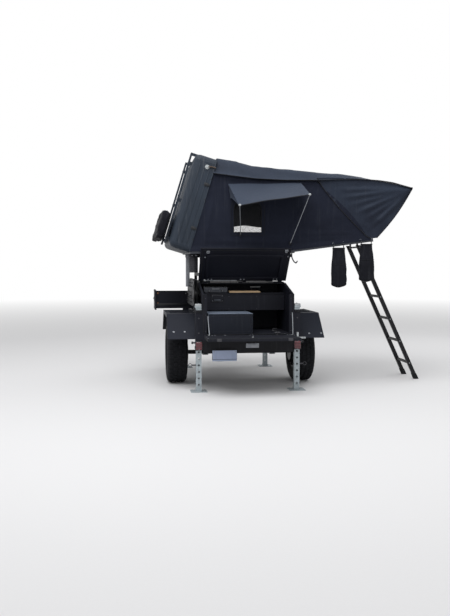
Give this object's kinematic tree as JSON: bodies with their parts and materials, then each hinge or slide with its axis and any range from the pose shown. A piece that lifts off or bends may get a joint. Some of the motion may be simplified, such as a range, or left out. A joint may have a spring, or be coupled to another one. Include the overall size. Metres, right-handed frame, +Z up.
{
  "type": "off-road camping trailer with rooftop tent",
  "caption": "Single-axle camping trailer on its drop legs: rear hatch and tailgate open on a slide-out kitchen, side drawer out, hard-cover rooftop tent unfolded with its ladder down.",
  "frame": {"origin": "on the ground below the centre of the whole trailer's box, tent and ladder included", "axes": "+X to the trailer's right, +Y forward along the drawbar, +Z up"},
  "size_m": [3.5832, 4.0644, 2.9614],
  "materials": {
    "aluminium": "brushed",
    "bamboo": "oiled",
    "chassis_black": "satin paint",
    "dark_steel": "satin",
    "drawer_grey": "powder coat",
    "galvanised": "zinc spangle",
    "ladder_black": "anodised",
    "plate_white": "satin",
    "red_lens": "clear ribbed",
    "rim_black": "satin",
    "rubber": "matt",
    "sheet_black": "satin powder coat",
    "tent_cover": "fine texture",
    "tent_fabric": "woven, matt",
    "tub_black": "textured powder coat"
  },
  "bodies": {
    "trailer": {"axle": "chassis_black", "bulkhead": "tub_black", "cabinet": "tub_black", "chassis": "chassis_black", "coupler": "dark_steel", "cutting_board": "bamboo", "drawbar": "chassis_black", "fender_left": "sheet_black", "fender_right": "sheet_black", "gear_bag": "tent_fabric", "ladder_mount": "dark_steel", "lamp_left": "red_lens", "lamp_right": "red_lens", "licence_plate": "plate_white", "plate_bracket": "chassis_black", "rack": "chassis_black", "rear_drawer_case": "aluminium", "recovery_boards": "rubber", "shoe_bag_inner": "tent_fabric", "shoe_bag_outer": "tent_fabric", "side_drawer_case": "tub_black", "spring_left": "chassis_black", "spring_right": "chassis_black", "stove": "aluminium", "tent_base": "aluminium", "tent_canopy": "tent_fabric", "tent_floor": "aluminium", "tent_fly": "tent_fabric", "tent_shell": "tent_cover", "tongue_jack_tube": "chassis_black", "tub_floor": "tub_black", "tub_front": "tub_black", "tub_side_left": "tub_black", "tub_side_right": "tub_black", "window_awning": "tent_fabric"},
    "wheel_left": {"tyre_left": "rubber", "rim_left": "rim_black"},
    "wheel_right": {"tyre_right": "rubber", "rim_right": "rim_black"},
    "lid": {"lid": "tub_black"},
    "tailgate": {"tailgate": "tub_black"},
    "rear_drawer": {"rear_drawer": "drawer_grey"},
    "upper_drawer": {"upper_drawer": "tub_black"},
    "side_drawer": {"side_drawer": "tub_black"},
    "leg_rear_left": {"leg_rear_left": "galvanised"},
    "leg_rear_right": {"leg_rear_right": "galvanised"},
    "leg_front_left": {"leg_front_left": "galvanised"},
    "leg_front_right": {"leg_front_right": "galvanised"},
    "tongue_jack_leg": {"tongue_jack_leg": "galvanised"},
    "ladder": {"ladder": "ladder_black"}
  },
  "joints": [
    {"name": "wheel_left_turn", "type": "hinge", "parent": "trailer", "child": "wheel_left", "pos_m": [-1.49087, -0.63815, 0.395], "axis": [1, 0, 0], "continuous": true},
    {"name": "wheel_right_turn", "type": "hinge", "parent": "trailer", "child": "wheel_right", "pos_m": [0.17913, -0.63815, 0.395], "axis": [1, 0, 0], "continuous": true},
    {"name": "lid_hinge", "type": "hinge", "parent": "trailer", "child": "lid", "pos_m": [-0.65587, -0.95815, 1.33], "axis": [1, 0, 0], "range_deg": [0, 61.1]},
    {"name": "tailgate_hinge", "type": "hinge", "parent": "trailer", "child": "tailgate", "pos_m": [-0.65587, -1.53015, 0.68], "axis": [-1, 0, 0], "range_deg": [0, 90]},
    {"name": "rear_drawer_slide", "type": "slide", "parent": "trailer", "child": "rear_drawer", "axis": [0, 1, 0], "range_m": [-0.45, 0]},
    {"name": "upper_drawer_slide", "type": "slide", "parent": "trailer", "child": "upper_drawer", "axis": [0, 1, 0], "range_m": [-0.4, 0]},
    {"name": "side_drawer_slide", "type": "slide", "parent": "trailer", "child": "side_drawer", "axis": [1, 0, 0], "range_m": [0, 0.5]},
    {"name": "leg_rear_left_lift", "type": "slide", "parent": "trailer", "child": "leg_rear_left", "axis": [0, 0, 1], "range_m": [0, 0.4]},
    {"name": "leg_rear_right_lift", "type": "slide", "parent": "trailer", "child": "leg_rear_right", "axis": [0, 0, 1], "range_m": [0, 0.4]},
    {"name": "leg_front_left_lift", "type": "slide", "parent": "trailer", "child": "leg_front_left", "axis": [0, 0, 1], "range_m": [0, 0.4]},
    {"name": "leg_front_right_lift", "type": "slide", "parent": "trailer", "child": "leg_front_right", "axis": [0, 0, 1], "range_m": [0, 0.4]},
    {"name": "tongue_jack_lift", "type": "slide", "parent": "trailer", "child": "tongue_jack_leg", "axis": [0, 0, 1], "range_m": [0, 0.28]},
    {"name": "ladder_swing", "type": "hinge", "parent": "trailer", "child": "ladder", "pos_m": [0.94413, -1.50815, 1.785], "axis": [0, -1, 0], "range_deg": [0, 60]}
  ]
}
